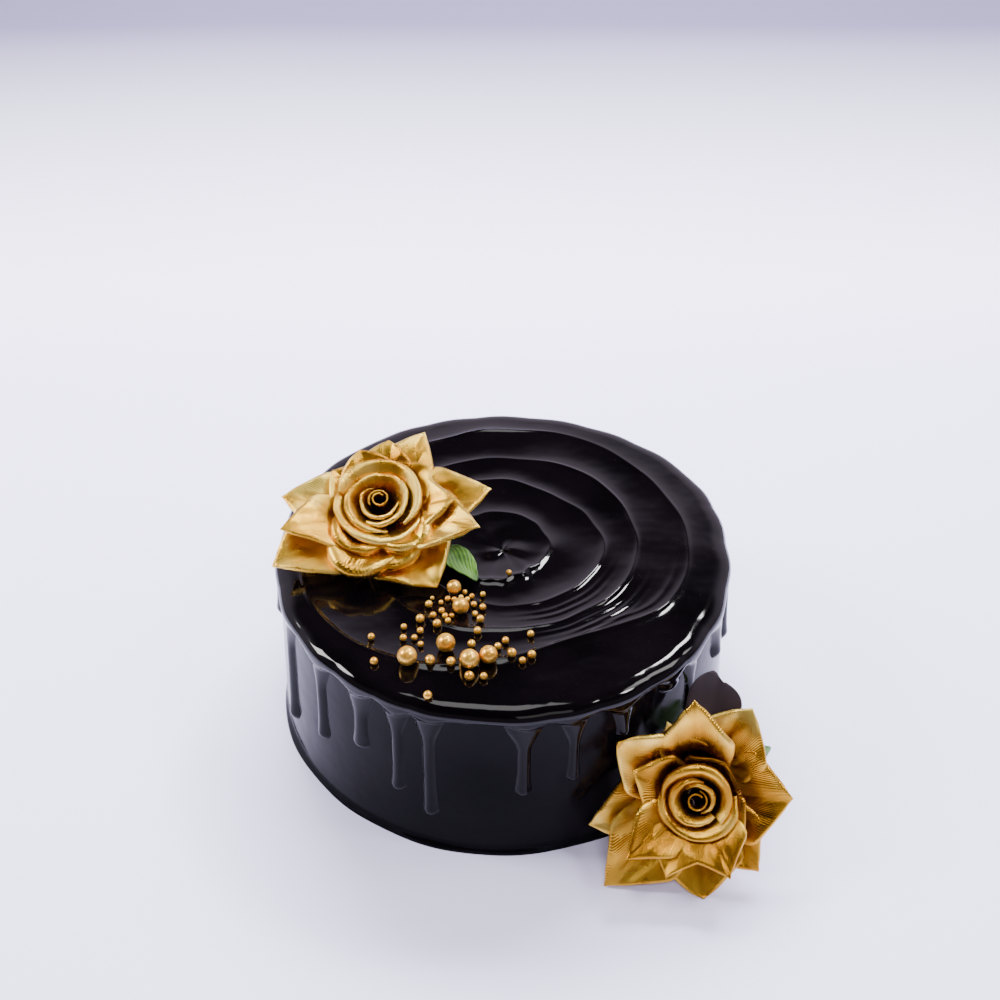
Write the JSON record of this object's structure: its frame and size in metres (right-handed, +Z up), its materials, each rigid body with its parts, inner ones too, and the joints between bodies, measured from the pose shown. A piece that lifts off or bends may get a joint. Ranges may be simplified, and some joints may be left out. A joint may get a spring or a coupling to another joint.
{
  "type": "decorated chocolate cake",
  "caption": "Round chocolate cake under a dark mirror glaze with a spiral top and drips, decorated with gold fabric roses, green leaves and gold sugar pearls",
  "frame": {"origin": "the middle of the cake's flat underside", "axes": "+Z up; -Y the cake's front, where the pearls lie and the lower rose leans to the right; +X to the right seen from the front"},
  "size_m": [0.2143, 0.2257, 0.1165],
  "materials": {
    "chocolate_coat": "smooth glossy dark chocolate coat",
    "chocolate_glaze": "mirror-glossy dark chocolate glaze",
    "gold_sugar": "satin gold pearl dust on sugar",
    "gold_fabric": "metallic gold woven fabric",
    "green_leaf": "satin green leaf",
    "dark_leaf": "matte dark leaf"
  },
  "bodies": {
    "root": {"cake": "chocolate_coat", "glaze": "chocolate_glaze", "pearl_large_1": "gold_sugar", "pearl_large_2": "gold_sugar", "pearl_large_3": "gold_sugar", "pearl_large_4": "gold_sugar", "pearl_large_5": "gold_sugar", "pearl_large_6": "gold_sugar", "rose_top_bud": "gold_fabric", "rose_top_petals": "gold_fabric", "rose_side_bud": "gold_fabric", "rose_side_petals": "gold_fabric", "leaf_top": "green_leaf", "leaf_side_left": "green_leaf", "leaf_side_right": "green_leaf", "leaf_dark": "dark_leaf"}
  },
  "joints": []
}
